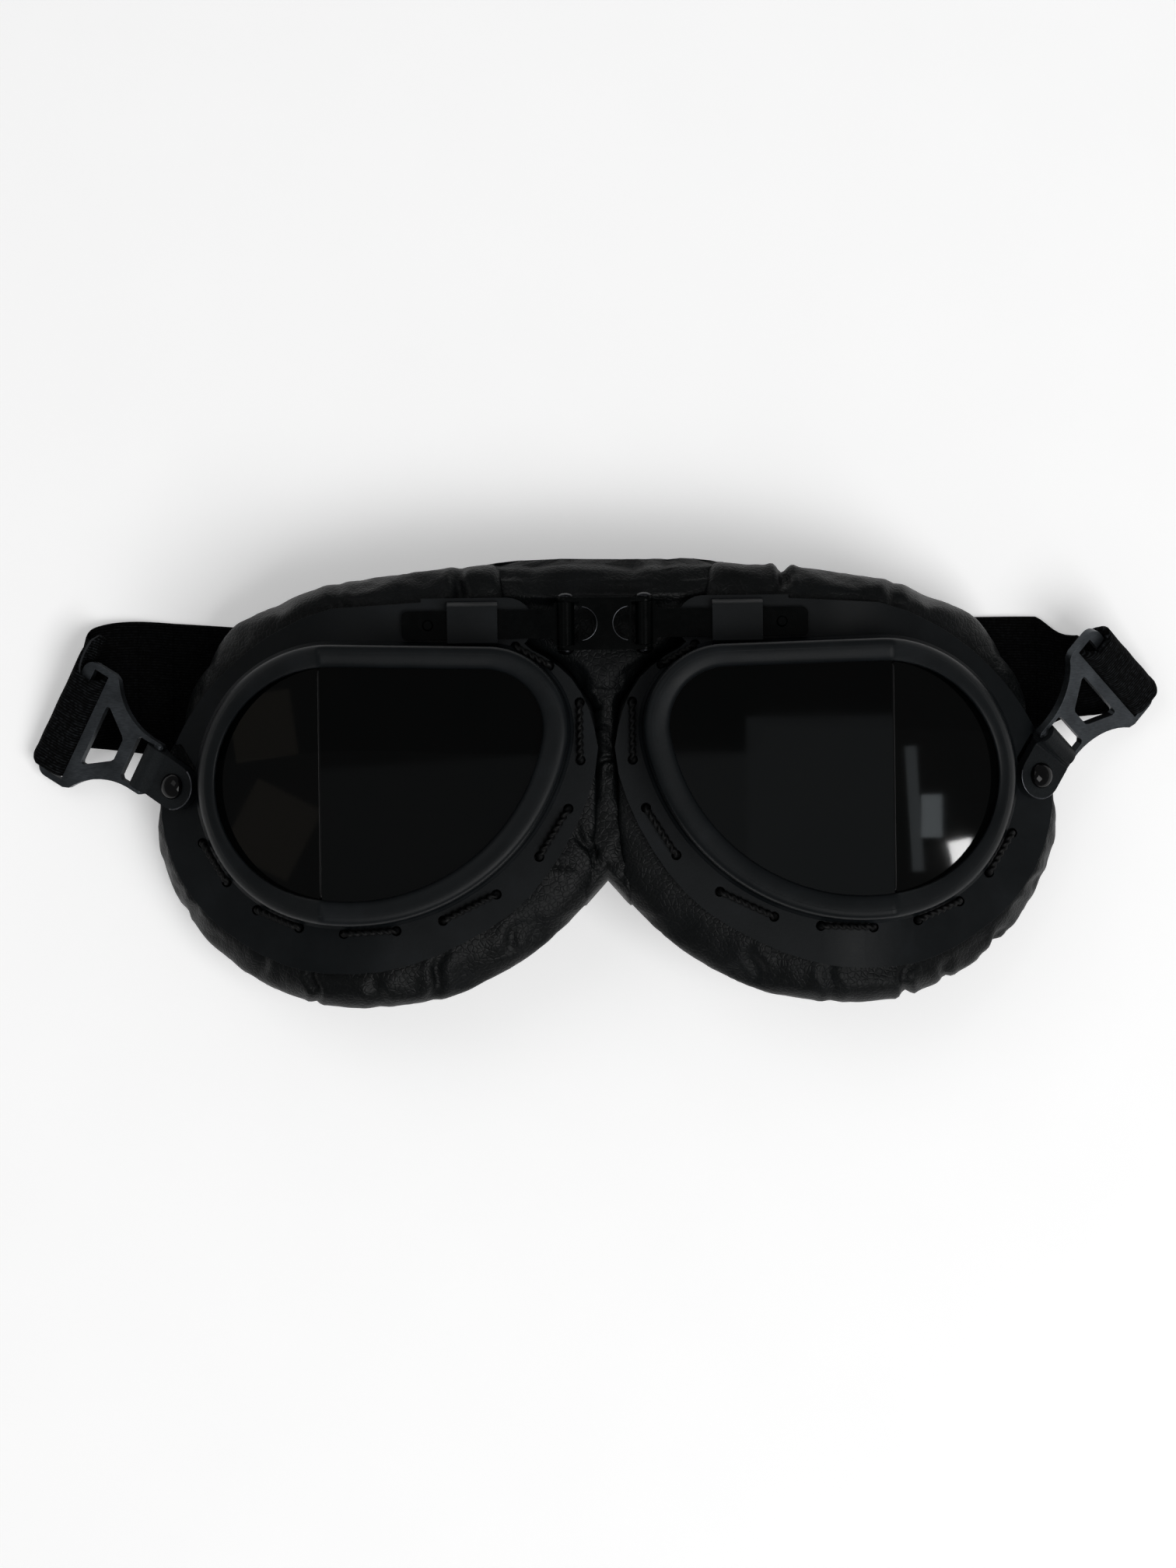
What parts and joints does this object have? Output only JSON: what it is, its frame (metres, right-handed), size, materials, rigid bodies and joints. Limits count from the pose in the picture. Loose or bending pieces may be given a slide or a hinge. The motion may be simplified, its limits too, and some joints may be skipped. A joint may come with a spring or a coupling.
{
  "type": "riding goggles",
  "caption": "Split-lens riding goggles with two moulded cups, padded leather face ring, hinged metal bridge and a buckled elastic head strap.",
  "frame": {"origin": "on the table under the middle of the bridge, goggles lying face up", "axes": "+X to the right of a viewer facing the lenses, +Y towards the brow, +Z out of the lenses"},
  "size_m": [0.2362, 0.0918, 0.0501],
  "materials": {
    "moulded_rubber": "matt moulded",
    "smoked_lens": "polished smoke grey",
    "leather": "soft matt grain over foam",
    "waxed_lace": "waxed",
    "bright_steel": "polished",
    "black_steel": "satin black",
    "tab_leather": "smooth satin",
    "gloss_black": "gloss",
    "gunmetal": "satin gunmetal",
    "elastic": "knitted elastic"
  },
  "bodies": {
    "bridge": {"bridge_plate": "black_steel", "hinge_pin_left": "bright_steel", "hinge_pin_right": "bright_steel", "cushion_bridge": "leather", "strap_center": "elastic", "strap_run_left": "elastic", "strap_run_right": "elastic"},
    "slider": {"slider": "gunmetal"},
    "plate_left": {"strap_plate_left": "black_steel"},
    "cup_left": {"cup_left": "moulded_rubber", "lens_front_left": "smoked_lens", "lens_side_left": "smoked_lens", "cushion_left": "leather", "lace_left": "waxed_lace", "rivet_left": "gloss_black"},
    "tab_left": {"tab_left": "tab_leather"},
    "buckle_left": {"buckle_left": "gunmetal", "strap_loop_left": "elastic"},
    "plate_right": {"strap_plate_right": "black_steel"},
    "cup_right": {"cup_right": "moulded_rubber", "lens_front_right": "smoked_lens", "lens_side_right": "smoked_lens", "cushion_right": "leather", "lace_right": "waxed_lace", "rivet_right": "gloss_black"},
    "tab_right": {"tab_right": "tab_leather"},
    "buckle_right": {"buckle_right": "gunmetal", "strap_loop_right": "elastic"}
  },
  "joints": [
    {"name": "bridge_hinge_left", "type": "hinge", "parent": "bridge", "child": "plate_left", "pos_m": [-0.0081, 0.0328, 0.03821], "axis": [0, -1, 0], "range_deg": [-15, 12], "deforming": ["cushion_bridge", "strap_run_left"]},
    {"name": "nose_slide_left", "type": "slide", "parent": "plate_left", "child": "cup_left", "axis": [-1, 0, 0], "range_m": [-0.001, 0.0025], "deforming": ["cushion_bridge"]},
    {"name": "rivet_swivel_left", "type": "hinge", "parent": "cup_left", "child": "tab_left", "pos_m": [-0.0894, 0.0003, 0.01563], "axis": [0.5299, 0, -0.848], "range_deg": [-20, 17]},
    {"name": "buckle_hinge_left", "type": "hinge", "parent": "tab_left", "child": "buckle_left", "pos_m": [-0.09573, 0.00423, 0.01327], "axis": [-0.433, -0.8599, -0.2705], "range_deg": [-60, 25]},
    {"name": "bridge_hinge_right", "type": "hinge", "parent": "bridge", "child": "plate_right", "pos_m": [0.0081, 0.0328, 0.03821], "axis": [0, 1, 0], "range_deg": [-15, 12], "deforming": ["cushion_bridge", "strap_run_right"]},
    {"name": "nose_slide_right", "type": "slide", "parent": "plate_right", "child": "cup_right", "axis": [1, 0, 0], "range_m": [-0.001, 0.0025], "deforming": ["cushion_bridge"]},
    {"name": "rivet_swivel_right", "type": "hinge", "parent": "cup_right", "child": "tab_right", "pos_m": [0.0894, 0.0003, 0.01563], "axis": [0.5299, 0, 0.848], "range_deg": [-30, 4]},
    {"name": "buckle_hinge_right", "type": "hinge", "parent": "tab_right", "child": "buckle_right", "pos_m": [0.09383, 0.00663, 0.01445], "axis": [-0.5118, 0.5444, 0.6646], "range_deg": [-60, 25]},
    {"name": "slider_slide", "type": "slide", "parent": "bridge", "child": "slider", "axis": [1, 0, 0], "range_m": [-0.01, 0.003]}
  ]
}
